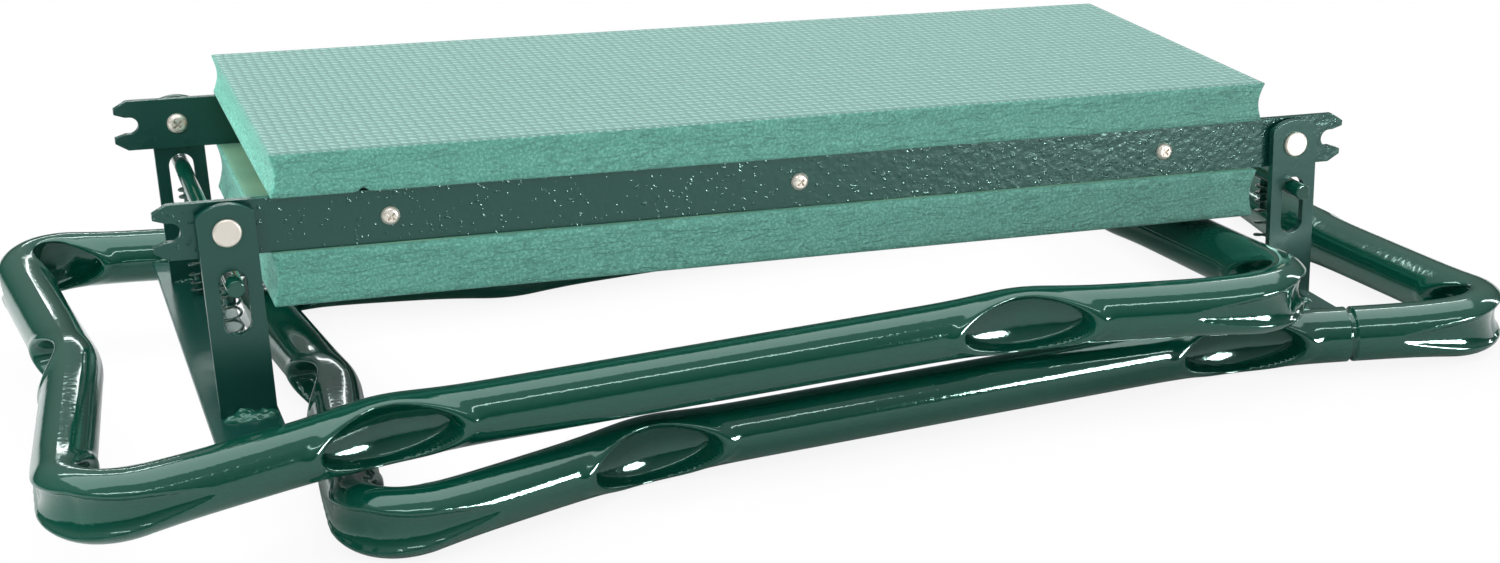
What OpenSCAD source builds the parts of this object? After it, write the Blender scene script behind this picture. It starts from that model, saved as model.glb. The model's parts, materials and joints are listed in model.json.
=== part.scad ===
// Folding garden kneeler and seat, drawn folded flat.
// Millimetres. +X is right, +Y is back, +Z is up.
// The origin is on the ground under the middle of the seat, and the lower leg loop lies on z = 0.
// Both leg loops are level, so the arms stand upright and the seat slopes down to the right.

/* [Seat] */
// Distance between the left and the right leg pivots
pivot_span = 424; // [422:0.5:428]
// Length of both foam pads
pad_length = 394; // [380:1:396]
// Depth of both foam pads, front to back
pad_depth = 150; // [149:0.5:152]
// Thickness of the sitting pad
seat_pad_thick = 16; // [12:0.5:25]
// Thickness of the kneeling pad
kneel_pad_thick = 19.7; // [12:0.1:20]
// Height of the two flat-bar rails
rail_height = 20; // [18:0.5:20]
// Thickness of the flat bar that rails and arms are cut from
bar_thick = 3; // [2.5:0.1:3.2]
// Distance between the outer faces of the two rails
rail_spread = 144.2; // [144:0.1:146]
// Length of the board between the rails
board_length = 370; // [340:1:384]

/* [Rail forks] */
// Reach of the fork tips beyond the pivot
fork_reach = 24.3; // [23:0.1:25]
// Height of the fork at its tips
fork_tip_height = 14; // [13:0.1:15]
// Length of the slanted corner of each fork tip
fork_slant = 5; // [3:0.1:5]
// Width of the notch that catches the lock rod
notch_width = 7; // [6.9:0.1:7.2]
// Width of the notch at its mouth
mouth_width = 9.8; // [9:0.1:10.4]

/* [Legs] */
// Width of the flat-bar arms
arm_width = 20; // [18:0.5:20]
// Gap between rail and arm, filled by a washer
washer_gap = 1.4; // [1:0.1:1.6]
// Radius of the rounded top of each arm
arm_top_radius = 16; // [11:0.5:20]
// Height of the arm above its pivot
arm_above_pivot = 10; // [9:0.1:11]
// Distance from the pivot down to the mid-plane of the leg loop
pivot_to_loop = 69.5; // [69:0.5:72]
// Width of the slot that guides the lock rod
slot_width = 9.8; // [7:0.1:10]
// Top end of the slot, below the pivot
slot_top = 14; // [13.5:0.1:14.5]
// Bottom end of the slot, below the pivot
slot_bottom = 38; // [37:0.1:38.5]
// Width of the strap that ties the arms to the loop
strap_width = 25; // [22:0.5:27]

/* [Leg loops] */
// Outer diameter of the loop's tube
tube_diameter = 22; // [20:0.5:22]
// Wall thickness of the tube
tube_wall = 1; // [0.8:0.1:1.5]
// Half of the loop's length, to the tube's centre line
loop_half_length = 233.6; // [228:0.2:236]
// Half of the loop's width at its ends
loop_end_half_width = 134.4; // [132:0.1:136]
// Half of the loop's width at its waist
loop_waist_half_width = 103.6; // [102:0.1:106]
// Half of the length of the straight waist
waist_half_length = 122.6; // [115:0.2:126]
// How far the middle of each end bar is bent inwards
end_dent = 15; // [12:0.5:17]
// Bend radius of the loop's four corners
corner_radius = 18; // [16:0.5:24]
// Bend radius of the shallow bends in the sides and ends
shallow_radius = 70; // [50:1:80]
// Distance from the arms' centre line to the middle of the loop
loop_offset = 163.6; // [160:0.2:165]
// Sideways shift of each loop from the middle of the seat
loop_side_shift = 2.2; // [0:0.1:4]
// Height of the upper loop above the lower one, centre to centre
loop_stack = 27.5; // [26:0.1:32]

/* [Lock rods and springs] */
// Diameter of the lock rods
rod_diameter = 6.4; // [6:0.1:6.5]
// How far each lock rod stands out beyond the arms
rod_overhang = 7.5; // [4:0.5:12]
// Outer diameter of the coil springs
spring_diameter = 8.4; // [6.6:0.1:9]
// Wire diameter of the coil springs
spring_wire = 1; // [0.8:0.1:1.1]
// Number of turns in each spring
spring_turns = 11; // [8:1:12]

/* [Hidden] */

$fn = 64;
LEFT = -1;
RIGHT = 1;
FRONT = -1;
REAR = 1;
eps = 0.01;

tube_radius = tube_diameter / 2;
tube_bore = tube_radius - tube_wall;
rail_outer_y = rail_spread / 2;
rail_inner_y = rail_outer_y - bar_thick;
arm_inner_y = rail_outer_y + washer_gap;
arm_outer_y = arm_inner_y + bar_thick;
rod_half_length = arm_outer_y + rod_overhang;

// The seat leans because the left loop lies on top of the right one.
seat_tilt = asin(loop_stack / pivot_span);
pivot_x = pivot_span / 2 * cos(seat_tilt);
right_pivot_z = tube_radius + pivot_to_loop;
left_pivot_z = right_pivot_z + loop_stack;
seat_z = (right_pivot_z + left_pivot_z) / 2;

// The rod rests, and locks, at the centre of the notch's round end.
rod_drop = fork_reach - 5.8;
rod_radius = rod_diameter / 2;
notch_radius = notch_width / 2;

strap_thick = bar_thick;
strap_top = strap_thick / 2 - pivot_to_loop;
strap_shift = 2;
stud_radius = 2.2;
rod_stud_length = 15;
strap_stud_length = 9;
spring_y = 56;

post_radius = 3;
post_bore = 2;
post_head_radius = 5;
post_head_thick = 1.6;
screw_head_radius = 4;
screw_head_thick = 2.4;
running_gap = 0.05;
board_screw_x = [-154.6, 0, 154.6];
board_screw_radius = 1.9;
board_screw_length = 22;

rail_paint = [0.03, 0.17, 0.13];
tube_paint = [0.02, 0.22, 0.15];
foam_green = [0.36, 0.66, 0.56];
zinc = [0.78, 0.79, 0.78];
board_tan = [0.62, 0.47, 0.30];
spring_grey = [0.20, 0.24, 0.22];

// ---------- placing ----------

// The seat's own frame: its origin is midway between the pivots, with the rails along X.
module in_seat() {
    translate([0, 0, seat_z]) rotate([0, seat_tilt, 0]) children();
}

// A leg's own frame: its origin is on the pivot axis. Legs are the same part, turned half round.
module in_leg(side) {
    z = side == LEFT ? left_pivot_z : right_pivot_z;
    translate([side * pivot_x, 0, z]) rotate([0, 0, side == LEFT ? 0 : 180]) children();
}

// A round bar along Y from y0 to y1.
module bar_y(r, y0, y1) {
    translate([0, y1, 0]) rotate([90, 0, 0]) cylinder(r = r, h = y1 - y0);
}

// A flat plate in the XZ plane, from an outline, standing between y0 and y1.
module plate_xz(outline, y0, y1) {
    translate([0, y1, 0]) rotate([90, 0, 0]) linear_extrude(y1 - y0) polygon(outline);
}

// ---------- bent tube ----------

function turn(p) = atan2(p[1], p[0]);
function unit(p) = p / norm(p);
function signed(a) = a > 180 ? a - 360 : a < -180 ? a + 360 : a;
function bend_angle(a, b, c) = signed(turn(c - b) - turn(b - a));
function setback(a, b, c, r) = r * tan(abs(bend_angle(a, b, c)) / 2);

// A straight round piece between two points of the XY plane, lengthened at both ends.
module straight_piece(p, q, r, more) {
    translate([p[0], p[1], 0]) rotate([0, 0, turn(q - p)])
        translate([-more, 0, 0]) rotate([0, 90, 0])
            cylinder(r = r, h = norm(q - p) + 2 * more);
}

// A bend at corner b, tangent to a-b and b-c. It is a hair thinner, so that the straights cap it.
module bend_piece(a, b, c, bend, r) {
    angle = bend_angle(a, b, c);
    inward = unit(unit(a - b) + unit(c - b));
    centre = b + inward * bend / cos(angle / 2);
    rotate_from = turn(b - centre) - abs(angle) / 2;
    translate([centre[0], centre[1], 0]) rotate([0, 0, rotate_from])
        rotate_extrude(angle = abs(angle)) translate([bend, 0]) circle(r = r - 0.05);
}

// A round bar of radius r along an open path, with a bend radius for each inner point.
module bent_bar(path, bends, r, start_more, end_more) {
    last = len(path) - 1;
    lap = 0.4;
    for (i = [0 : last - 1]) {
        way = unit(path[i + 1] - path[i]);
        from = i == 0 ? path[0]
            : path[i] + way * setback(path[i - 1], path[i], path[i + 1], bends[i]);
        to = i == last - 1 ? path[last]
            : path[i + 1] - way * setback(path[i], path[i + 1], path[i + 2], bends[i + 1]);
        p = from - way * (i == 0 ? start_more : lap);
        q = to + way * (i == last - 1 ? end_more : lap);
        straight_piece(p, q, r, 0);
    }
    for (i = [1 : last - 1]) bend_piece(path[i - 1], path[i], path[i + 1], bends[i], r);
}

// ---------- leg loop ----------

// The loop's corners, counter-clockwise from the swaged joint in the rear short side and back.
corner_in = [-loop_half_length, loop_end_half_width];
kink_in = [-waist_half_length, loop_waist_half_width];
joint_x = -loop_offset - 5.5;
joint_at = corner_in + (kink_in - corner_in) * (joint_x + loop_half_length)
    / (loop_half_length - waist_half_length);
loop_path = [
    joint_at,
    corner_in,
    [end_dent - loop_half_length, 0],
    [-loop_half_length, -loop_end_half_width],
    [-waist_half_length, -loop_waist_half_width],
    [waist_half_length, -loop_waist_half_width],
    [loop_half_length, -loop_end_half_width],
    [loop_half_length - end_dent, 0],
    [loop_half_length, loop_end_half_width],
    [waist_half_length, loop_waist_half_width],
    kink_in,
    joint_at
];
loop_bends = [
    0, corner_radius, shallow_radius, corner_radius, shallow_radius, shallow_radius,
    corner_radius, shallow_radius, corner_radius, shallow_radius, shallow_radius, 0
];
joint_gap = 2.5;
neck_length = 16;
neck_radius = tube_bore - 0.1;

// A short round piece along the line of the swaged joint, from one distance to another.
module joint_piece(from, to, r) {
    way = unit(kink_in - corner_in);
    straight_piece(joint_at + way * from, joint_at + way * to, r, 0);
}

// The loop's tube. Its last end is necked down and sits tight inside its first end.
module loop_tube() {
    $fn = 32;
    difference() {
        union() {
            bent_bar(loop_path, loop_bends, tube_radius, 0, -joint_gap);
            joint_piece(-1, joint_gap + 1, neck_radius);
        }
        bent_bar(loop_path, loop_bends, tube_bore, -neck_length, -joint_gap - 3);
        joint_piece(-neck_length - 1, joint_gap + 4, neck_radius - tube_wall);
    }
}

module leg_loop(side) {
    color(tube_paint) in_leg(side)
        translate([loop_offset, -loop_side_shift, -pivot_to_loop]) loop_tube();
}

// ---------- strap and arms ----------

// Half-width of the loop, to the tube's centre line, at distance x from the loop's middle.
function side_half_width(x) = loop_waist_half_width
    + max(0, abs(x) - waist_half_length) * (loop_end_half_width - loop_waist_half_width)
    / (loop_half_length - waist_half_length);

module cross_strap(side) {
    reach = side_half_width(loop_offset);
    color(rail_paint) in_leg(side) difference() {
        translate([-strap_width / 2 - strap_shift, -reach - loop_side_shift,
            -pivot_to_loop - strap_thick / 2])
            cube([strap_width, 2 * reach, strap_thick]);
        // The ends are cut to the tubes that they are welded to.
        translate([loop_offset, -loop_side_shift, -pivot_to_loop])
            for (y = [FRONT, REAR])
                straight_piece([-loop_half_length, y * loop_end_half_width],
                    [-waist_half_length, y * loop_waist_half_width],
                    tube_radius + 0.02, 0);
    }
}

// The arm: a flat bar with a domed top, a pivot hole and a slot for the lock rod.
module arm(side, face) {
    y0 = face == side ? -arm_outer_y : arm_inner_y;
    y1 = y0 + bar_thick;
    half = arm_width / 2;
    dome_z = arm_above_pivot - arm_top_radius;
    shoulder = dome_z + sqrt(pow(arm_top_radius, 2) - pow(half, 2));
    slot_r = slot_width / 2;
    color(rail_paint) in_leg(side) difference() {
        union() {
            plate_xz([[-half, strap_top], [half, strap_top], [half, shoulder],
                [-half, shoulder]], y0, y1);
            intersection() {
                translate([0, 0, dome_z]) bar_y(arm_top_radius, y0, y1);
                translate([-half, y0 - 1, shoulder - 2])
                    cube([arm_width, bar_thick + 2, 20]);
            }
        }
        bar_y(post_radius + running_gap, y0 - 1, y1 + 1);
        translate([0, 0, -slot_top - slot_r]) bar_y(slot_r, y0 - 1, y1 + 1);
        translate([0, 0, -slot_bottom + slot_r]) bar_y(slot_r, y0 - 1, y1 + 1);
        translate([-slot_r, y0 - 1, -slot_bottom + slot_r])
            cube([slot_width, bar_thick + 2, slot_bottom - slot_top - slot_width]);
    }
}

// ---------- lock rod, studs and springs ----------

module lock_rod(side) {
    color(tube_paint) in_leg(side) translate([0, 0, -rod_drop])
        bar_y(rod_radius, -rod_half_length, rod_half_length);
}

// Two short studs under the lock rod that hold the tops of the springs.
module rod_studs(side) {
    color(rail_paint) in_leg(side) for (y = [FRONT, REAR])
        difference() {
            translate([0, y * spring_y, -rod_drop - rod_stud_length])
                cylinder(r = stud_radius, h = rod_stud_length);
            translate([0, 0, -rod_drop])
                bar_y(rod_radius + eps, y * spring_y - 4, y * spring_y + 4);
        }
}

// Two short studs on the strap that hold the feet of the springs.
module spring_studs(side) {
    color(rail_paint) in_leg(side) for (y = [FRONT, REAR])
        translate([0, y * spring_y, strap_top])
            cylinder(r = stud_radius, h = strap_stud_length);
}

// A coil of round wire standing on z = 0, as one closed skin of wire rings.
module coil(height) {
    steps = 12;
    sides = 6;
    mean = (spring_diameter - spring_wire) / 2;
    rings = spring_turns * steps;
    rise = height - spring_wire;
    points = [for (i = [0 : rings], k = [0 : sides - 1])
        let (a = i * 360 / steps, b = k * 360 / sides, out = mean + cos(b) * spring_wire / 2)
            [out * cos(a), out * sin(a),
                spring_wire / 2 + rise * i / rings + sin(b) * spring_wire / 2]];
    walls = [for (i = [0 : rings - 1], k = [0 : sides - 1])
        let (n = i * sides, m = (k + 1) % sides)
            [n + k, n + sides + k, n + sides + m, n + m]];
    first_end = [[for (k = [0 : sides - 1]) k]];
    last_end = [[for (k = [sides - 1 : -1 : 0]) rings * sides + k]];
    polyhedron(points, concat(walls, first_end, last_end), convexity = 10);
}

module spring(side, face) {
    height = -strap_top - rod_drop - rod_radius;
    color(spring_grey) in_leg(side)
        translate([0, -side * face * spring_y, strap_top + 0.05]) coil(height - 0.1);
}

// ---------- seat ----------

module rail(face) {
    y0 = face == FRONT ? -rail_outer_y : rail_inner_y;
    y1 = y0 + bar_thick;
    half_span = pivot_span / 2;
    half = rail_height / 2;
    tip = half_span + fork_reach;
    slant = tip - fork_slant;
    tip_half = fork_tip_height / 2;
    mouth = mouth_width / 2;
    round_x = half_span + rod_drop;
    color(rail_paint) in_seat() difference() {
        plate_xz([[-slant, -half], [slant, -half], [tip, -tip_half], [tip, tip_half],
            [slant, half], [-slant, half], [-tip, tip_half], [-tip, -tip_half]], y0, y1);
        for (side = [LEFT, RIGHT]) {
            translate([side * round_x, 0, 0]) bar_y(notch_radius, y0 - 1, y1 + 1);
            plate_xz([[side * round_x, -notch_radius],
                [side * (round_x + 1.5), -notch_radius],
                [side * (tip + eps), -mouth], [side * (tip + eps), mouth],
                [side * (round_x + 1.5), notch_radius],
                [side * round_x, notch_radius]], y0 - 1, y1 + 1);
            translate([side * half_span, 0, 0])
                bar_y(post_radius + running_gap, y0 - 1, y1 + 1);
        }
        for (x = board_screw_x)
            translate([x, 0, 0]) bar_y(board_screw_radius + running_gap, y0 - 1, y1 + 1);
    }
}

module seat_board() {
    half_depth = rail_inner_y - eps;
    color(board_tan) in_seat() difference() {
        translate([-board_length / 2, -half_depth, -rail_height / 2])
            cube([board_length, 2 * half_depth, rail_height]);
        for (x = board_screw_x, y = [FRONT, REAR])
            translate([x, y * (half_depth - board_screw_length / 2), 0])
                bar_y(board_screw_radius + running_gap,
                    -board_screw_length / 2 - 0.5, board_screw_length / 2 + 0.5);
    }
}

// A foam pad with slightly rounded upright corners, from z0 to z0 + thick.
module pad(z0, thick) {
    r = 3;
    x = pad_length / 2 - r;
    y = pad_depth / 2 - r;
    color(foam_green) in_seat() translate([0, 0, z0]) union() {
        translate([-x, -y - r, 0]) cube([2 * x, 2 * (y + r), thick]);
        translate([-x - r, -y, 0]) cube([2 * (x + r), 2 * y, thick]);
        for (sx = [-x, x], sy = [-y, y])
            translate([sx, sy, 0]) cylinder(r = r, h = thick);
    }
}

// A pan head with its shank, pointing along -Y from the origin, with a cross recess.
module pan_screw(head_r, head_h, shank_r, shank_l) {
    difference() {
        union() {
            rotate([90, 0, 0]) rotate_extrude()
                polygon([[0, -head_h], [head_r * 0.55, -head_h], [head_r * 0.9, -head_h * 0.6],
                    [head_r, -head_h * 0.2], [head_r, 0], [shank_r, 0], [shank_r, shank_l],
                    [0, shank_l]]);
        }
        for (a = [45, 135])
            rotate([0, a, 0]) translate([-head_r * 0.5, head_h * 0.35, -head_r * 0.11])
                cube([head_r, head_h, head_r * 0.22]);
    }
}

// The three screws that hold one rail to the board. Heads stand on the rail's outer face.
module board_screws(face) {
    color(zinc) in_seat() for (x = board_screw_x)
        translate([x, face * rail_outer_y, 0]) mirror([0, face == FRONT ? 1 : 0, 0])
            pan_screw(3.4, 1.8, board_screw_radius, board_screw_length);
}

// Runs its children once at each of the four pivots, turned so that +Y points outwards.
module at_pivots() {
    for (side = [LEFT, RIGHT], face = [FRONT, REAR])
        in_seat() translate([side * pivot_span / 2, 0, 0])
            mirror([0, face == FRONT ? 1 : 0, 0]) children();
}

// Two-part pivot bolts: a flat-headed barrel from outside, threaded for a screw from inside.
module pivot_posts() {
    length = arm_outer_y - rail_inner_y;
    color(zinc) at_pivots() translate([0, arm_outer_y, 0]) difference() {
        union() {
            rotate([90, 0, 0]) rotate_extrude()
                polygon([[0, -post_head_thick], [post_head_radius - 0.5, -post_head_thick],
                    [post_head_radius, 0.5 - post_head_thick], [post_head_radius, 0], [0, 0]]);
            bar_y(post_radius, eps - length, eps);
        }
        bar_y(post_bore, -length - 1, -0.6);
    }
}

module pivot_screws() {
    length = arm_outer_y - rail_inner_y;
    color(zinc) at_pivots() translate([0, rail_inner_y, 0]) mirror([0, 1, 0])
        pan_screw(screw_head_radius, screw_head_thick, post_bore - running_gap, length - 1);
}

module pivot_washers() {
    color(zinc) at_pivots() difference() {
        bar_y(6, rail_outer_y + eps, arm_inner_y - eps);
        bar_y(post_radius + 0.2, rail_outer_y - 1, arm_inner_y + 1);
    }
}

rail(FRONT);  // front_rail
rail(REAR);  // rear_rail
seat_board();
pad(rail_height / 2, seat_pad_thick);  // seat_pad
pad(-rail_height / 2 - kneel_pad_thick, kneel_pad_thick);  // kneel_pad
board_screws(FRONT);  // front_board_screws
board_screws(REAR);  // rear_board_screws
pivot_posts();
pivot_screws();
pivot_washers();
leg_loop(LEFT);  // left_leg_loop
cross_strap(LEFT);  // left_cross_strap
arm(LEFT, FRONT);  // left_front_arm
arm(LEFT, REAR);  // left_rear_arm
lock_rod(LEFT);  // left_lock_rod
rod_studs(LEFT);  // left_rod_studs
spring_studs(LEFT);  // left_spring_studs
spring(LEFT, FRONT);  // left_front_spring
spring(LEFT, REAR);  // left_rear_spring
leg_loop(RIGHT);  // right_leg_loop
cross_strap(RIGHT);  // right_cross_strap
arm(RIGHT, FRONT);  // right_front_arm
arm(RIGHT, REAR);  // right_rear_arm
lock_rod(RIGHT);  // right_lock_rod
rod_studs(RIGHT);  // right_rod_studs
spring_studs(RIGHT);  // right_spring_studs
spring(RIGHT, FRONT);  // right_front_spring
spring(RIGHT, REAR);  // right_rear_spring
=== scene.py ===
"""Looks of the folding garden kneeler: crushed tubes, foam pads, springs and welds."""
import json
import math

import bpy
import numpy as np
from mathutils import Matrix, Vector, noise


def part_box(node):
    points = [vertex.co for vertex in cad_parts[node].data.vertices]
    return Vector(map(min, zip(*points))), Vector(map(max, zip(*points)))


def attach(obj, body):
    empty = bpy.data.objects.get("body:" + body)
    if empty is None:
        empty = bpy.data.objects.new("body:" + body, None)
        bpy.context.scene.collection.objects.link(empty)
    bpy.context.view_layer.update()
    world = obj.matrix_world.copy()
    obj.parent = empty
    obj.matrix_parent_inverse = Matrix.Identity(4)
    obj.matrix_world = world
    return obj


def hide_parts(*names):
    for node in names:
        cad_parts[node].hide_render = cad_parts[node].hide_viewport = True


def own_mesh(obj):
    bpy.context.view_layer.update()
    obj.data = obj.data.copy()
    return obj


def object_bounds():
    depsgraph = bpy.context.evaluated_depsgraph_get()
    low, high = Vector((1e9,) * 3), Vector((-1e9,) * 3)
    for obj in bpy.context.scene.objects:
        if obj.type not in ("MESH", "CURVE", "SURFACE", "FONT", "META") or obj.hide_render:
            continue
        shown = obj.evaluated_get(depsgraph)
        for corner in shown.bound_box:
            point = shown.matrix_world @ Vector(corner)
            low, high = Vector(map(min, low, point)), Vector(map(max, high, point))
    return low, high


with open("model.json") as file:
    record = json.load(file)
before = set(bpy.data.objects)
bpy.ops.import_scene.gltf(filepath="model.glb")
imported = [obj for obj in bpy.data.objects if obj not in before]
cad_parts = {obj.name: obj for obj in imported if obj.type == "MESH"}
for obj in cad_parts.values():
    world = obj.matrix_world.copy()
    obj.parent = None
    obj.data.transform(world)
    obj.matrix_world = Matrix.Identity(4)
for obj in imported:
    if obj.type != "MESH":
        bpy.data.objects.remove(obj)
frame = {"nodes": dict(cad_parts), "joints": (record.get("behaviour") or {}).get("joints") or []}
joints = {j["name"]: j for j in frame["joints"]}


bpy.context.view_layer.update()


# ---------- sizes taken from the CAD ----------

right_pivot = Vector(joints["right_leg_fold"]["pos_m"])
left_pivot = Vector(joints["left_leg_fold"]["pos_m"])
SPAN = (right_pivot - left_pivot).length
TILT = math.asin((left_pivot.z - right_pivot.z) / SPAN)
SEAT = Matrix.Translation((left_pivot + right_pivot) / 2) @ Matrix.Rotation(TILT, 4, "Y")


def seat_box(node):
    """Lowest and highest corner of a seat node, along the seat's own leaning axes."""
    to_seat = np.array(SEAT.inverted())
    co = np.array([v.co for v in frame["nodes"][node].data.vertices])
    co = co @ to_seat[:3, :3].T + to_seat[:3, 3]
    return Vector(co.min(0)), Vector(co.max(0))


# ---------- materials ----------

def new_material(name):
    mat = bpy.data.materials.new(name)
    mat.use_nodes = True
    tree = mat.node_tree
    return mat, tree, tree.nodes["Principled BSDF"]


def add(tree, kind, **values):
    node = tree.nodes.new(kind)
    for key, value in values.items():
        if hasattr(node, key):
            setattr(node, key, value)
        else:
            node.inputs[key.replace("_", " ")].default_value = value
    return node


def ramp(tree, source, low, high, out_low=0.0, out_high=1.0):
    node = tree.nodes.new("ShaderNodeMapRange")
    node.inputs["From Min"].default_value = low
    node.inputs["From Max"].default_value = high
    node.inputs["To Min"].default_value = out_low
    node.inputs["To Max"].default_value = out_high
    tree.links.new(source, node.inputs["Value"])
    return node.outputs["Result"]


def coords(tree):
    return add(tree, "ShaderNodeTexCoord").outputs["Object"]


def bump(tree, height, distance, strength=1.0, normal=None):
    node = add(tree, "ShaderNodeBump", Strength=strength, Distance=distance)
    tree.links.new(height, node.inputs["Height"])
    if normal is not None:
        tree.links.new(normal, node.inputs["Normal"])
    return node.outputs["Normal"]


def noise_tex(tree, vector, scale, detail=2.0, rough=0.5):
    node = add(tree, "ShaderNodeTexNoise", Scale=scale, Detail=detail, Roughness=rough)
    tree.links.new(vector, node.inputs["Vector"])
    return node.outputs["Fac"]


def math_node(tree, op, a, b=None, c=None):
    node = tree.nodes.new("ShaderNodeMath")
    node.operation = op
    for i, v in enumerate((a, b, c)):
        if v is None:
            continue
        if isinstance(v, (int, float)):
            node.inputs[i].default_value = v
        else:
            tree.links.new(v, node.inputs[i])
    return node.outputs[0]


def mix_color(tree, fac, a, b):
    node = tree.nodes.new("ShaderNodeMix")
    node.data_type = "RGBA"
    for sock, v in ((node.inputs["Factor"], fac), (node.inputs["A"], a), (node.inputs["B"], b)):
        if isinstance(v, (int, float)):
            sock.default_value = v
        elif isinstance(v, tuple):
            sock.default_value = (*v, 1.0)
        else:
            tree.links.new(v, sock)
    return node.outputs["Result"]


def edge_highlight_mask(tree, radius, low, high):
    """1 where the surface turns sharply, 0 elsewhere."""
    bevel = add(tree, "ShaderNodeBevel", samples=6, Radius=radius)
    geo = tree.nodes.new("ShaderNodeNewGeometry")
    dot = tree.nodes.new("ShaderNodeVectorMath")
    dot.operation = "DOT_PRODUCT"
    tree.links.new(bevel.outputs["Normal"], dot.inputs[0])
    tree.links.new(geo.outputs["Normal"], dot.inputs[1])
    return ramp(tree, dot.outputs["Value"], high, low)


def tube_paint(name, green):
    mat, tree, bsdf = new_material(name)
    pos = coords(tree)
    wave = noise_tex(tree, pos, 45.0, 2.0)
    fine = noise_tex(tree, pos, 420.0, 1.0)
    normal = bump(tree, wave, 0.0005, 0.3)
    normal = bump(tree, fine, 0.00012, 0.6, normal)
    tree.links.new(normal, bsdf.inputs["Normal"])
    bsdf.inputs["Base Color"].default_value = (*green, 1)
    bsdf.inputs["Roughness"].default_value = 0.09
    bsdf.inputs["Specular IOR Level"].default_value = 0.65
    bsdf.inputs["Specular Tint"].default_value = (0.55, 1.0, 0.88, 1)
    bsdf.inputs["Coat Weight"].default_value = 0.55
    bsdf.inputs["Coat Roughness"].default_value = 0.06
    bsdf.inputs["Coat IOR"].default_value = 1.55
    return mat


def flat_bar_paint(name, orange_peel):
    mat, tree, bsdf = new_material(name)
    pos = coords(tree)
    peel = noise_tex(tree, pos, 330.0, 2.0)
    broad = noise_tex(tree, pos, 90.0, 2.0)
    specks = ramp(tree, noise_tex(tree, pos, 520.0, 1.0), 0.66, 0.73)
    split = tree.nodes.new("ShaderNodeSeparateXYZ")
    tree.links.new(pos, split.inputs[0])
    rough_part = ramp(tree, split.outputs[0], -0.02, 0.09, 0.3, 1.0)
    normal = bump(tree, math_node(tree, "MULTIPLY", peel, rough_part), 0.0010, orange_peel)
    normal = bump(tree, broad, 0.0006, 0.3 * orange_peel, normal)
    normal = bump(tree, specks, 0.0006, 0.9 * orange_peel, normal)
    tree.links.new(normal, bsdf.inputs["Normal"])
    # painted highlight: sharp edges, broken up by noise, are drawn in a paler green
    rim = edge_highlight_mask(tree, 0.0004, 0.45, 0.85)
    rim = math_node(tree, "MULTIPLY", rim, ramp(tree, broad, 0.40, 0.55))
    color = mix_color(tree, rim, (0.003, 0.044, 0.034), (0.14, 0.34, 0.27))
    tree.links.new(color, bsdf.inputs["Base Color"])
    bsdf.inputs["Roughness"].default_value = 0.26
    bsdf.inputs["Specular IOR Level"].default_value = 0.8
    bsdf.inputs["Specular Tint"].default_value = (0.60, 1.0, 0.90, 1)
    bsdf.inputs["Coat Weight"].default_value = 0.12
    bsdf.inputs["Coat Roughness"].default_value = 0.12
    return mat


SCALE_LENGTH, SCALE_DEPTH = 0.00353, 0.00407


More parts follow.
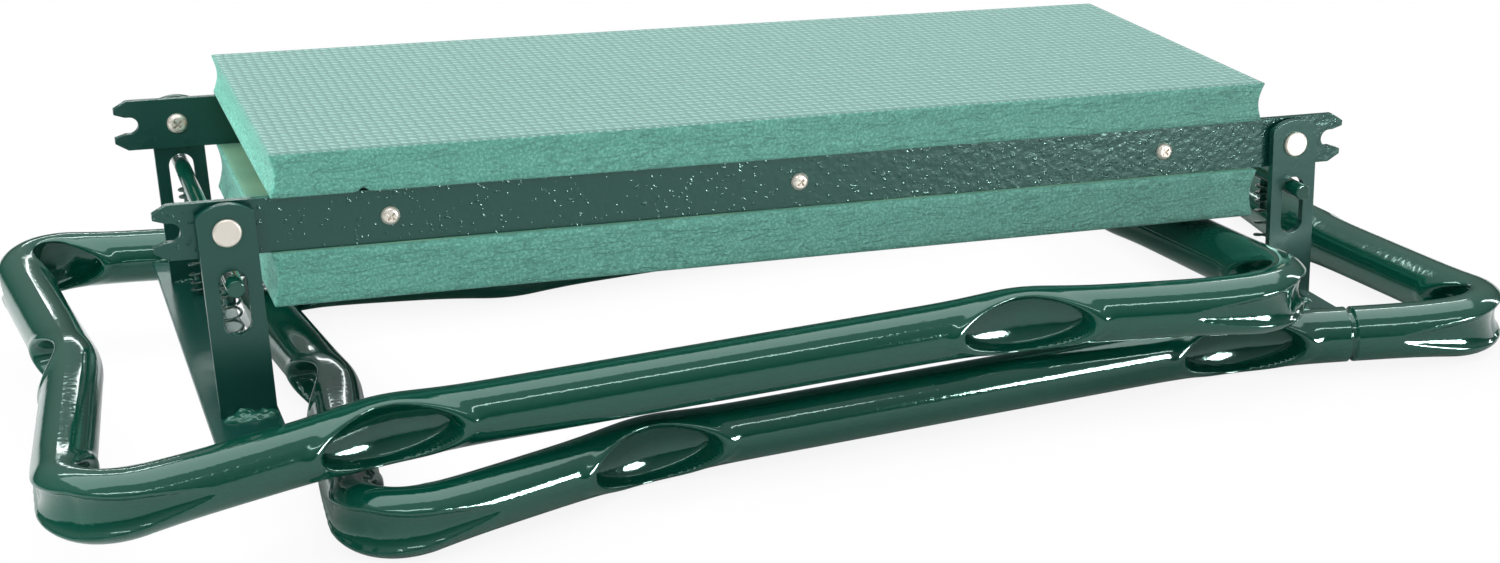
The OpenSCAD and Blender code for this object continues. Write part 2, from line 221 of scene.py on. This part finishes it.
def foam(name, top, painted_light=1.0):
    """Closed-cell foam: scales on the moulded face, faint wavy cut marks on the sides."""
    mat, tree, bsdf = new_material(name)
    pos = coords(tree)
    split = tree.nodes.new("ShaderNodeSeparateXYZ")
    tree.links.new(pos, split.inputs[0])
    x, y, z = split.outputs
    grain = noise_tex(tree, pos, 900.0, 2.0, 0.7)
    if top:
        col = math_node(tree, "DIVIDE", x, SCALE_LENGTH)
        row = math_node(tree, "DIVIDE", y, SCALE_DEPTH)
        wob = ramp(tree, noise_tex(tree, pos, 150.0, 1.0), 0.0, 1.0, -0.22, 0.22)
        fy = math_node(tree, "SUBTRACT", math_node(tree, "FRACT", row), 0.5)
        slant = math_node(tree, "MULTIPLY_ADD", fy, 0.45, math_node(tree, "ADD", col, wob))
        fx = math_node(tree, "SUBTRACT", math_node(tree, "FRACT", slant), 0.5)
        hump = math_node(tree, "MULTIPLY_ADD", math_node(tree, "MULTIPLY", fx, fx), 0.8, fy)
        wide = math_node(tree, "POWER", math_node(tree, "MULTIPLY", fx, 2.0), 2.0)
        tall = math_node(tree, "POWER", math_node(tree, "MULTIPLY", hump, 2.5), 2.0)
        dist = math_node(tree, "ADD", wide, tall)
        scale = ramp(tree, dist, 1.0, 0.0)
        columns, rows = (math_node(tree, "FLOOR", v) for v in (slant, row))
        turns = math_node(tree, "ADD", columns, rows)
        odd = math_node(tree, "FLOORED_MODULO", turns, 2.0)
        scale = math_node(tree, "MULTIPLY", scale, ramp(tree, odd, 0.0, 1.0, 0.72, 1.0))
        normal = bump(tree, scale, 0.0012, 1.0)
        normal = bump(tree, grain, 0.00012, 0.5, normal)
        # painted shade: the gaps between the scales are drawn darker than the raised scales
        shade = ramp(tree, scale, 0.0, 0.55)
        color = mix_color(tree, shade, (0.118, 0.262, 0.228), (0.262, 0.458, 0.412))
    else:
        stretch = tree.nodes.new("ShaderNodeMapping")
        stretch.inputs["Scale"].default_value = (0.16, 0.16, 1.0)
        tree.links.new(pos, stretch.inputs["Vector"])
        streak = noise_tex(tree, stretch.outputs["Vector"], 330.0, 2.0, 0.5)
        level = math_node(tree, "ABSOLUTE", math_node(tree, "SUBTRACT", streak, 0.5))
        marks = ramp(tree, level, 0.024, 0.004)
        normal = bump(tree, marks, 0.0006, 0.5)
        normal.node.invert = True
        normal = bump(tree, grain, 0.0005, 0.7, normal)
        speck = ramp(tree, grain, 0.45, 0.7)
        # the factor brightens the side colours; the end faces get a larger one as painted light
        dark, pale = Vector((0.070, 0.246, 0.193)) * painted_light, Vector((0.146, 0.394, 0.324)) * painted_light
        color = mix_color(tree, speck, tuple(dark), tuple(pale))
        # painted shade: the wavy grooves are drawn darker
        groove_shade = math_node(tree, "MULTIPLY", marks, 0.42)
        color = mix_color(tree, groove_shade, color, (0.055, 0.185, 0.146))
    tree.links.new(color, bsdf.inputs["Base Color"])
    tree.links.new(normal, bsdf.inputs["Normal"])
    bsdf.inputs["Roughness"].default_value = 0.72
    bsdf.inputs["Specular IOR Level"].default_value = 0.3
    bsdf.inputs["Sheen Weight"].default_value = 0.15
    return mat


def foam_skin():
    """The plain, slightly yellowed face of the lower pad, which lies against the board."""
    mat, tree, bsdf = new_material("foam_skin")
    pos = coords(tree)
    grain = noise_tex(tree, pos, 700.0, 2.0, 0.7)
    cloud = ramp(tree, noise_tex(tree, pos, 30.0, 3.0), 0.35, 0.65)
    color = mix_color(tree, cloud, (0.105, 0.300, 0.215), (0.190, 0.420, 0.290))
    tree.links.new(color, bsdf.inputs["Base Color"])
    tree.links.new(bump(tree, grain, 0.0004, 0.7), bsdf.inputs["Normal"])
    bsdf.inputs["Roughness"].default_value = 0.7
    return mat


def zinc():
    mat, tree, bsdf = new_material("zinc")
    pos = coords(tree)
    normal = bump(tree, noise_tex(tree, pos, 900.0, 2.0), 0.00005, 0.5)
    tree.links.new(normal, bsdf.inputs["Normal"])
    bsdf.inputs["Base Color"].default_value = (0.80, 0.74, 0.66, 1)
    bsdf.inputs["Metallic"].default_value = 0.6
    bsdf.inputs["Roughness"].default_value = 0.32
    return mat


def spring_steel():
    mat, tree, bsdf = new_material("spring_steel")
    pos = coords(tree)
    normal = bump(tree, noise_tex(tree, pos, 700.0, 2.0), 0.00008, 0.5)
    tree.links.new(normal, bsdf.inputs["Normal"])
    bsdf.inputs["Base Color"].default_value = (0.020, 0.060, 0.045, 1)
    bsdf.inputs["Metallic"].default_value = 0.2
    bsdf.inputs["Roughness"].default_value = 0.22
    bsdf.inputs["Coat Weight"].default_value = 1.0
    return mat


def board():
    mat, tree, bsdf = new_material("board")
    pos = coords(tree)
    stretch = tree.nodes.new("ShaderNodeMapping")
    stretch.inputs["Scale"].default_value = (1.0, 14.0, 14.0)
    tree.links.new(pos, stretch.inputs["Vector"])
    grain = noise_tex(tree, stretch.outputs["Vector"], 12.0, 4.0, 0.6)
    color = mix_color(tree, ramp(tree, grain, 0.35, 0.65), (0.30, 0.19, 0.10), (0.50, 0.35, 0.20))
    tree.links.new(color, bsdf.inputs["Base Color"])
    tree.links.new(bump(tree, grain, 0.0003, 0.4), bsdf.inputs["Normal"])
    bsdf.inputs["Roughness"].default_value = 0.7
    return mat


TUBE = tube_paint("tube_paint", (0.0010, 0.050, 0.031))
# painted sheen: the weld mounds use a paler copy of the tube paint
WELD = tube_paint("weld_sheen_paint", (0.005, 0.080, 0.053))
RAIL = flat_bar_paint("rail_paint", 0.36)
ARM = flat_bar_paint("arm_paint", 0.08)
FOAM_TOP = foam("foam_top", True)
# painted light: the cut ends get a brighter copy of the side foam than the long sides
FOAM_SIDE = foam("foam_side", False, 1.33)
FOAM_END = foam("foam_end", False, 1.7)
FOAM_SKIN = foam_skin()
ZINC = zinc()
SPRING = spring_steel()
BOARD = board()


# ---------- mesh helpers ----------

def make_mesh(name, verts, faces, mats, body, smooth=True):
    mesh = bpy.data.meshes.new(name)
    mesh.from_pydata([tuple(v) for v in verts], [], faces)
    mesh.validate()
    for m in mats:
        mesh.materials.append(m)
    mesh.polygons.foreach_set("use_smooth", [smooth] * len(mesh.polygons))
    mesh.update()
    obj = bpy.data.objects.new(name, mesh)
    bpy.context.scene.collection.objects.link(obj)
    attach(obj, body)
    return obj


def bevel(obj, width, segments=2, angle=35):
    mod = obj.modifiers.new("bevel", "BEVEL")
    mod.width = width
    mod.segments = segments
    mod.limit_method = "ANGLE"
    mod.angle_limit = math.radians(angle)
    flat = obj.modifiers.new("flat", "WEIGHTED_NORMAL")
    flat.keep_sharp = True
    flat.weight = 100
    return mod


def dress(node, mat, width):
    """Gives a carried-over CAD node its material and rounded edges."""
    obj = frame["nodes"][node]
    obj.data.materials.clear()
    obj.data.materials.append(mat)
    given = obj.data.attributes.get("custom_normal")
    if given:
        obj.data.attributes.remove(given)
    obj.data.shade_smooth()
    weld = obj.modifiers.new("weld", "WELD")
    weld.merge_threshold = 0.000002
    planar = obj.modifiers.new("planar", "DECIMATE")
    planar.decimate_type = "DISSOLVE"
    planar.angle_limit = math.radians(0.5)
    bevel(obj, width)
    return obj


# ---------- bent and crushed leg loops ----------

SIDES = 88
tube_lo, tube_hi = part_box("left_leg_loop")
TUBE_R = (tube_hi.z - tube_lo.z) / 2
CORNER_BEND, SHALLOW_BEND = 0.018, 0.070
HALF, END, KINK, WAIST, DENT = 0.2336, 0.1344, 0.1226, 0.1036, 0.015
LOOP_POINTS = [
    (-HALF, -END, "corner"), (-KINK, -WAIST, "kink"), (KINK, -WAIST, "kink"),
    (HALF, -END, "corner"), (HALF - DENT, 0, "vee"), (HALF, END, "corner"),
    (KINK, WAIST, "kink"), (-KINK, WAIST, "kink"), (-HALF, END, "corner"),
    (DENT - HALF, 0, "vee")]
CRUSH = {
    # half length, depth and height of the hollow, swelling in height, dip in the outer side
    "corner": (0.031, 0.0055, 0.93, 0.15, 0.0040),
    "kink": (0.0275, 0.0068, 0.90, 0.13, 0.0),
    "vee": (0.025, 0.0060, 0.90, 0.12, 0.0),
}
ALONG_SIDE = Vector((HALF - KINK, WAIST - END)).normalized()
JOINT_X = -(right_pivot.x - abs((tube_lo.x + tube_hi.x) / 2) + 0.0055)
JOINT = Vector((-HALF, END)) + ALONG_SIDE * ((JOINT_X + HALF) / ALONG_SIDE.x)


NECK_LENGTH, NECK_SIZE = 0.0027, 0.86


def centre_line(points):
    """Closed path as (position, direction, arc length) samples, and the middle of each bend."""
    pts = [Vector(p[:2]) for p in points]
    n = len(pts)
    arcs = []
    for i in range(n):
        a, b, c = pts[i - 1], pts[i], pts[(i + 1) % n]
        d1, d2 = (b - a).normalized(), (c - b).normalized()
        angle = math.atan2(d1.x * d2.y - d1.y * d2.x, d1.dot(d2))
        bend = CORNER_BEND if points[i][2] == "corner" else SHALLOW_BEND
        back = bend * math.tan(abs(angle) / 2)
        arcs.append((b - d1 * back, b + d2 * back, d1, d2, angle, bend))
    samples, bends, s = [], [], 0.0
    for i in range(n):
        start, end, d1, d2, angle, bend = arcs[i]
        side = Vector((-d1.y, d1.x)) * math.copysign(1, angle)
        centre = start + side * bend
        count = max(6, int(abs(angle) * bend / 0.0009))
        for k in range(count):
            turn = angle * k / count
            arm = Matrix.Rotation(turn, 2) @ (-side * bend)
            samples.append((centre + arm, Matrix.Rotation(turn, 2) @ d1, s + abs(turn) * bend))
        bends.append((s + abs(angle) * bend / 2, points[i][2], math.copysign(1, angle)))
        s += abs(angle) * bend
        run = arcs[(i + 1) % n][0] - end
        length = run.length
        at = 0.0
        while at < length - 1e-6:
            here = end + d2 * at
            samples.append((here, d2, s + at))
            near = min(at, length - at)
            at += 0.0004 if (here - JOINT).length < 0.009 else 0.0010 if near < 0.034 else 0.004
        s += length
    return samples, bends, s


def smooth01(t):
    t = np.clip(t, 0, 1)
    return t * t * (3 - 2 * t)


def leg_loop(node, body, turned):
    lo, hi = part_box(node)
    mid = (lo + hi) / 2
    samples, bends, total = centre_line(LOOP_POINTS)
    phi = np.arange(SIDES) * 2 * math.pi / SIDES
    inward, upward = np.cos(phi), np.sin(phi)
    verts = []
    for (pos, way, s) in samples:
        lift = np.zeros(SIDES)
        swell, flat = 0.0, np.zeros(SIDES)
        for s_b, kind, sign in bends:
            u = (s - s_b + total / 2) % total - total / 2
            half, depth, high, grow, dip = CRUSH[kind]
            if abs(u) > 3 * half:
                continue
            swell += grow * math.exp(-(u / (0.72 * half)) ** 2)
            facing = inward * sign
            t = np.clip(1 - (u / half) ** 2 - (upward / high) ** 2, 0, 1)
            rim = TUBE_R * math.sqrt(1 - high * high)
            bowl = rim - depth * (0.4 * smooth01(t / 0.3) + 0.6 * t ** 0.8)
            press = smooth01(t / 0.20) * (bowl - TUBE_R * abs(inward))
            lift += np.where(facing > 0, press, 0) * sign
            lip = np.exp(-(((u / half) ** 2 + (upward / high) ** 2 - 1.22) / 0.22) ** 2)
            lift += np.where(facing > 0, 0.0008 * lip, 0) * sign
            # the outer side is pressed into a crease that widens towards the bend
            width = 0.72 * max(0.0, 1 - abs(u) / (1.35 * half)) ** 0.6
            if dip and width > 0.02:
                t = np.clip(1 - (upward / width) ** 2, 0, 1)
                crease = TUBE_R * math.sqrt(1 - width * width) - dip * width * t
                press = smooth01(t / 0.45) * (TUBE_R * abs(inward) - crease)
                flat += np.where(facing < 0, press, 0) * sign
        side = TUBE_R * inward + lift + flat
        high = TUBE_R * upward * (1 + swell)
        inn = Vector((-way.y, way.x))
        for k in range(SIDES):
            p = pos + inn * side[k]
            verts.append((p.x, p.y, high[k]))
    verts = np.array(verts)
    # necked joint near one corner of the rear side, or of the front side once turned
    rel = verts[:, :2] - np.array(JOINT)
    dist = rel @ np.array(ALONG_SIDE)
    off = abs(rel @ np.array((-ALONG_SIDE.y, ALONG_SIDE.x)))
    axis = np.array(JOINT) + np.outer(dist, np.array(ALONG_SIDE))
    squeeze = np.where((off < 0.02) & (dist > 0.0) & (dist < NECK_LENGTH), NECK_SIZE, 1.0)
    verts[:, :2] = axis * (1 - squeeze)[:, None] + verts[:, :2] * squeeze[:, None]
    verts[:, 2] *= squeeze
    if turned:
        verts[:, :2] *= -1
    verts += np.array((mid.x, mid.y, mid.z))
    n = len(samples)
    faces = []
    for i in range(n):
        j = (i + 1) % n
        for k in range(SIDES):
            m = (k + 1) % SIDES
            faces.append((i * SIDES + k, j * SIDES + k, j * SIDES + m, i * SIDES + m))
    obj = make_mesh(node + "_crushed", verts, faces, [TUBE], body)
    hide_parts(node)
    return obj


leg_loop("left_leg_loop", "left_leg", False)
leg_loop("right_leg_loop", "right_leg", True)


# ---------- springs ----------

def spring(node, body):
    """A coil with closed end turns."""
    lo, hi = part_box(node)
    wire = 0.00055
    mean = (hi.x - lo.x) / 2 - wire
    mid = (lo + hi) / 2
    turns, steps, ring = 11, 20, 10
    count = turns * steps
    rise = hi.z - lo.z - 2 * wire
    verts, faces = [], []
    for i in range(count + 1):
        a = i * 2 * math.pi / steps
        t = i / count
        ease = t - 0.35 * (math.sin(2 * math.pi * t) / (2 * math.pi))
        z = lo.z + wire + rise * ease
        out = Vector((math.cos(a), math.sin(a), 0))
        for k in range(ring):
            b = k * 2 * math.pi / ring
            p = Vector((mid.x, mid.y, z)) + out * (mean + wire * math.cos(b))
            verts.append(p + Vector((0, 0, wire * math.sin(b))))
    for i in range(count):
        for k in range(ring):
            m = (k + 1) % ring
            near, far = i * ring, (i + 1) * ring
            faces.append((near + k, far + k, far + m, near + m))
    faces.append(tuple(range(ring)))
    faces.append(tuple(count * ring + k for k in reversed(range(ring))))
    obj = make_mesh(node + "_coil", verts, faces, [SPRING], body)
    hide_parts(node)
    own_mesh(obj)
    return obj


for leg in ("left", "right"):
    for face in ("front", "rear"):
        spring(f"{leg}_{face}_spring", f"{leg}_leg")


# ---------- foam pads ----------

EDGE_RADIUS, END_HOLLOW = 0.0011, 0.0021

def pad(node, top_up):
    """A foam slab on a fine grid: soft edges, hollow cut ends, wavy sides, one patterned face."""
    lo, hi = seat_box(node)
    nx, ny, nz = 200, 76, 12
    size = hi - lo
    edge = EDGE_RADIUS

    def spread(n, length):
        inner = np.linspace(edge, length - edge, n - 3)
        return np.concatenate([[0.0, edge * 0.3], inner, [length - edge * 0.3, length]])

    xs, ys, zs = spread(nx, size.x), spread(ny, size.y), spread(nz, size.z)
    index, verts, faces = {}, [], []

    def vert(i, j, k):
        key = (i, j, k)
        if key not in index:
            index[key] = len(verts)
            verts.append([xs[i], ys[j], zs[k]])
        return index[key]

    def face(*keys):
        faces.append(tuple(vert(*key) for key in keys))

    mx, my, mz = len(xs) - 1, len(ys) - 1, len(zs) - 1
    for i in range(mx):
        for j in range(my):
            face((i, j, mz), (i + 1, j, mz), (i + 1, j + 1, mz), (i, j + 1, mz))
            face((i, j, 0), (i, j + 1, 0), (i + 1, j + 1, 0), (i + 1, j, 0))
    for i in range(mx):
        for k in range(mz):
            face((i, 0, k), (i + 1, 0, k), (i + 1, 0, k + 1), (i, 0, k + 1))
            face((i, my, k), (i, my, k + 1), (i + 1, my, k + 1), (i + 1, my, k))
    for j in range(my):
        for k in range(mz):
            face((0, j, k), (0, j, k + 1), (0, j + 1, k + 1), (0, j + 1, k))
            face((mx, j, k), (mx, j + 1, k), (mx, j + 1, k + 1), (mx, j, k + 1))
    co = np.array(verts)
    full = np.array(size)
    gap = np.minimum(co, full - co)
    # round the slab's edges: pull in what is near two or three faces
    near = np.clip(1 - gap / edge, 0, 1)
    toward = np.where(co < full / 2, 1, -1)
    pull = np.zeros_like(co)
    for a in range(3):
        others = [b for b in range(3) if b != a]
        beside = np.maximum(near[:, others[0]], near[:, others[1]])
        pull[:, a] = edge * 0.32 * beside * (near[:, a] > 0)
    co += toward * pull
    # cut ends are hollow at mid height, and long sides wander a little
    t = co[:, 2] / full[2]
    belly = np.sin(np.pi * t)
    end_near = np.exp(-gap[:, 0] / 0.012)
    co[:, 0] += toward[:, 0] * end_near * belly * END_HOLLOW
    wave = np.array([noise.noise((x * 9.0, z * 20.0, 3.0)) for x, z in zip(co[:, 0], co[:, 2])])
    side_near = np.exp(-gap[:, 1] / 0.006)
    co[:, 1] += side_near * toward[:, 1] * np.clip(wave, -1, 1) * 0.0005
    co[:, 1] += side_near * toward[:, 1] * belly * 0.0004
    if node == "seat_pad":
        # a nick in the lower front edge
        nick = np.exp(-((co[:, 0] - 0.033) / 0.0016) ** 2)
        nick = nick * np.exp(-co[:, 2] / 0.0014) * np.exp(-co[:, 1] / 0.003)
        co[:, 2] += nick * 0.0022
        co[:, 1] += nick * 0.0022
    co += np.array(lo)
    m = np.array(SEAT)
    co = co @ m[:3, :3].T + m[:3, 3]
    mats = [FOAM_TOP, FOAM_SKIN, FOAM_SIDE, FOAM_END]
    obj = make_mesh(node + "_foam", co, faces, mats, "seat")
    across, above = SEAT.col[0].to_3d(), SEAT.col[2].to_3d()
    kinds = []
    for p in obj.data.polygons:
        rise = p.normal.dot(above) * (1 if top_up else -1)
        if rise > 0.8:
            kinds.append(0)
        elif rise < -0.97:
            kinds.append(1)
        else:
            kinds.append(3 if abs(p.normal.dot(across)) > 0.7 else 2)
    obj.data.polygons.foreach_set("material_index", kinds)
    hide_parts(node)
    return obj


pad("seat_pad", True)
pad("kneel_pad", False)


# ---------- welds ----------

def mound(name, centre, half_x, half_y, height, body, seed, crater=0.0):
    """A lumpy weld on a level face: a disc of rings raised by a dome and by noise."""
    rings, spokes = 26, 72
    verts, faces = [], []

    def at(i, k):
        return 1 + (i - 1) * spokes + k % spokes if i else 0

    for i in range(rings + 1):
        r = i / rings
        for k in range(spokes if i else 1):
            a = k * 2 * math.pi / spokes
            spot = (math.cos(a) * 1.7 + seed, math.sin(a) * 1.7, seed * 3.1)
            ragged = 1 + 0.16 * noise.noise(spot)
            x, y = r * ragged * math.cos(a), r * ragged * math.sin(a)
            dome = max(0.0, 1 - r * r) ** 0.6
            lump = 0.45 * noise.noise((x * 2.8 + seed, y * 2.2, seed))
            lump += 0.16 * noise.noise((x * 6, y * 5 + seed, seed))
            dip = crater * math.exp(-(((x - 0.25) / 0.35) ** 2 + (y / 0.4) ** 2))
            z = height * dome * (0.75 + lump) - height * dip - 0.0004 * r
            place = Vector((x * half_x, y * half_y, z))
            verts.append(Vector(centre) + place)
    for k in range(spokes):
        faces.append((0, at(1, k), at(1, k + 1)))
        for i in range(1, rings):
            faces.append((at(i, k), at(i + 1, k), at(i + 1, k + 1), at(i, k + 1)))
    faces.append(tuple(at(rings, k) for k in reversed(range(spokes))))
    return make_mesh(name, verts, faces, [WELD], body)


def bead(name, start, end, radius, body, seed):
    """A rippled weld bead along a line."""
    a, b = Vector(start), Vector(end)
    way = (b - a).normalized()
    side = way.cross(Vector((0, 0, 1))).normalized()
    steps, ring = 60, 14
    verts, faces = [], []
    for i in range(steps + 1):
        t = i / steps
        p = a.lerp(b, t)
        taper = min(1.0, 6 * t, 6 * (1 - t)) ** 0.5 if 0 < t < 1 else 0.02
        ripple = 1 + 0.16 * math.sin(t * (b - a).length / 0.0022 * 2 * math.pi)
        r = radius * taper * ripple * (1 + 0.3 * noise.noise((t * 9.0, seed, 1.0)))
        for k in range(ring):
            g = k * 2 * math.pi / ring
            verts.append(p + side * (r * math.cos(g)) + Vector((0, 0, r * 0.8 * math.sin(g))))
    for i in range(steps):
        for k in range(ring):
            m = (k + 1) % ring
            near, far = i * ring, (i + 1) * ring
            faces.append((near + k, far + k, far + m, near + m))
    faces.append(tuple(range(ring)))
    faces.append(tuple(steps * ring + k for k in reversed(range(ring))))
    return make_mesh(name, verts, faces, [TUBE], body)


seed = 1.0
for leg in ("left", "right"):
    strap_lo, strap_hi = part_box(f"{leg}_cross_strap")
    for face in ("front", "rear"):
        arm_lo, arm_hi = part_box(f"{leg}_{face}_arm")
        out = -1 if face == "front" else 1
        y = arm_lo.y if out < 0 else arm_hi.y
        x = (arm_lo.x + arm_hi.x) / 2
        seed += 1.7
        foot = (x, y + out * 0.0024, strap_hi.z)
        mound(f"{leg}_{face}_foot_weld", foot, 0.0095, 0.0048, 0.0036, f"{leg}_leg", seed, 0.45)
        inner = arm_hi.y if out < 0 else arm_lo.y
        start = (arm_lo.x + 0.001, inner, strap_hi.z)
        end = (arm_hi.x - 0.001, inner, strap_hi.z)
        bead(f"{leg}_{face}_inner_weld", start, end, 0.0011, f"{leg}_leg", seed)
        edge_y = strap_lo.y if out < 0 else strap_hi.y
        start = (strap_lo.x + 0.001, edge_y - out * 0.0030, strap_hi.z)
        end = (strap_hi.x - 0.001, edge_y - out * 0.0060, strap_hi.z)
        bead(f"{leg}_{face}_strap_weld", start, end, 0.0014, f"{leg}_leg", seed + 5)


# ---------- carried-over CAD nodes ----------

for name in ("front_rail", "rear_rail"):
    dress(name, RAIL, 0.0004)
for leg in ("left", "right"):
    for face in ("front", "rear"):
        dress(f"{leg}_{face}_arm", ARM, 0.0004)
    dress(f"{leg}_cross_strap", ARM, 0.0004)
    dress(f"{leg}_lock_rod", TUBE, 0.0007)
    dress(f"{leg}_rod_studs", ARM, 0.0003)
    dress(f"{leg}_spring_studs", ARM, 0.0003)
dress("seat_board", BOARD, 0.0005)
for name in ("front_board_screws", "rear_board_screws", "pivot_screws"):
    dress(name, ZINC, 0.00012)
for name in ("pivot_posts", "pivot_washers"):
    dress(name, ZINC, 0.0002)


# ---------- stage ----------

def area(name, at, aim, width, height, watts, color=(1, 1, 1)):
    data = bpy.data.lights.new(name, "AREA")
    data.shape = "RECTANGLE"
    data.size, data.size_y = width, height
    data.energy = watts
    data.color = color
    obj = bpy.data.objects.new(name, data)
    obj.location = at
    obj.rotation_mode = "QUATERNION"
    obj.rotation_quaternion = (Vector(aim) - Vector(at)).to_track_quat("-Z", "Y")
    bpy.context.scene.collection.objects.link(obj)
    return obj


lo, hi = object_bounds()
middle = (lo + hi) / 2
area("overhead", (0.0, 0.15, 1.25), middle, 2.2, 1.2, 15)
area("streak_back", (0.1, 0.75, 0.95), middle, 1.8, 0.05, 3.5)
area("streak_front", (-0.2, -0.95, 1.05), middle, 1.5, 0.05, 3.0)
area("front_left", (-1.15, -0.95, 0.85), middle, 0.45, 0.9, 6).visible_glossy = False
area("left", (-1.35, 0.1, 0.45), middle, 0.5, 0.7, 8).visible_glossy = False
area("right", (1.3, 0.05, 0.55), middle, 0.08, 0.8, 3)
front_right = area("front_right", (0.50, -0.74, 0.15), (0.135, -0.072, 0.087), 0.34, 0.17, 9.5)
front_right.data.shape = "ELLIPSE"
front_right.visible_diffuse = False
area("back", (0.1, 1.3, 0.6), middle, 1.6, 0.25, 4).visible_glossy = False
area("streak_end", (0.15, 1.4, 0.55), middle, 0.9, 0.03, 1.0)

world = bpy.data.worlds.new("studio")
bpy.context.scene.world = world
world.use_nodes = True
tree = world.node_tree
tree.nodes.clear()
out_node = tree.nodes.new("ShaderNodeOutputWorld")
path = tree.nodes.new("ShaderNodeLightPath")
seen = tree.nodes.new("ShaderNodeBackground")
seen.inputs["Color"].default_value = (1, 1, 1, 1)
lit = tree.nodes.new("ShaderNodeBackground")
place = tree.nodes.new("ShaderNodeTexCoord")
split = tree.nodes.new("ShaderNodeSeparateXYZ")
tree.links.new(place.outputs["Generated"], split.inputs[0])
rise = tree.nodes.new("ShaderNodeValToRGB")
rise.color_ramp.elements[0].position = 0.0
rise.color_ramp.elements[0].color = (0.025, 0.03, 0.028, 1)
rise.color_ramp.elements[1].position = 0.75
rise.color_ramp.elements[1].color = (0.60, 0.63, 0.63, 1)
# below the horizon the world takes the floor's tone, for a leg that hangs under floor level
below = math_node(tree, "LESS_THAN", split.outputs["Z"], 0.0)
height = math_node(tree, "MAXIMUM", split.outputs["Z"], math_node(tree, "MULTIPLY", below, 0.55))
tree.links.new(height, rise.inputs["Fac"])
tree.links.new(rise.outputs["Color"], lit.inputs["Color"])
lit.inputs["Strength"].default_value = 0.9
mixer = tree.nodes.new("ShaderNodeMixShader")
tree.links.new(path.outputs["Is Camera Ray"], mixer.inputs[0])
tree.links.new(lit.outputs[0], mixer.inputs[1])
tree.links.new(seen.outputs[0], mixer.inputs[2])
tree.links.new(mixer.outputs[0], out_node.inputs["Surface"])


def pale_floor():
    """Bounces light upwards. The camera sees only its faint contact shade, so it hides no leg."""
    mat = bpy.data.materials.new("floor")
    mat.use_nodes = True
    tree = mat.node_tree
    tree.nodes.clear()
    out = tree.nodes.new("ShaderNodeOutputMaterial")
    path = tree.nodes.new("ShaderNodeLightPath")
    pale = tree.nodes.new("ShaderNodeBsdfDiffuse")
    tone = mix_color(tree, path.outputs["Is Glossy Ray"], (0.85, 0.85, 0.85), (0.55, 0.56, 0.56))
    tree.links.new(tone, pale.inputs["Color"])
    shade = tree.nodes.new("ShaderNodeAmbientOcclusion")
    shade.samples = 8
    shade.inputs["Distance"].default_value = 0.035
    tint = ramp(tree, shade.outputs["AO"], 0.0, 1.0, 0.88, 1.0)
    clear = tree.nodes.new("ShaderNodeBsdfTransparent")
    tree.links.new(tint, clear.inputs["Color"])
    mix = tree.nodes.new("ShaderNodeMixShader")
    under = tree.nodes.new("ShaderNodeNewGeometry").outputs["Backfacing"]
    unseen = math_node(tree, "MAXIMUM", path.outputs["Is Camera Ray"], under)
    tree.links.new(unseen, mix.inputs[0])
    tree.links.new(pale.outputs[0], mix.inputs[1])
    tree.links.new(clear.outputs[0], mix.inputs[2])
    tree.links.new(mix.outputs[0], out.inputs["Surface"])
    return mat


mesh = bpy.data.meshes.new("floor")
half = 3.0
square = [(-half, -half, 0), (half, -half, 0), (half, half, 0), (-half, half, 0)]
mesh.from_pydata(square, [], [(0, 1, 2, 3)])
mesh.materials.append(pale_floor())
floor = bpy.data.objects.new("floor", mesh)
floor.location.z = lo.z - 0.0002
floor.visible_shadow = False
bpy.context.scene.collection.objects.link(floor)


# ---------- camera ----------

cam_data = bpy.data.cameras.new("camera")
cam_data.sensor_width = 36.0
cam_data.lens = 55.44
cam_data.clip_start, cam_data.clip_end = 0.01, 20.0
camera = bpy.data.objects.new("camera", cam_data)
bpy.context.scene.collection.objects.link(camera)
bpy.context.scene.camera = camera
yaw, pitch, roll = (math.radians(d) for d in (20.18, 19.35, 1.4))
level = Vector((math.sin(yaw), math.cos(yaw), 0))
ahead = level * math.cos(pitch) - Vector((0, 0, math.sin(pitch)))
across = Vector((math.cos(yaw), -math.sin(yaw), 0))
above = across.cross(ahead)
across = across * math.cos(roll) + above * math.sin(roll)
above = across.cross(ahead)
turn = Matrix((across, above, -ahead)).transposed().to_4x4()
camera.matrix_world = SEAT @ (Matrix.Translation((-0.3026, -0.8443, 0.2510)) @ turn)

view = bpy.context.scene.view_settings
view.view_transform = "Standard"
view.look = "None"
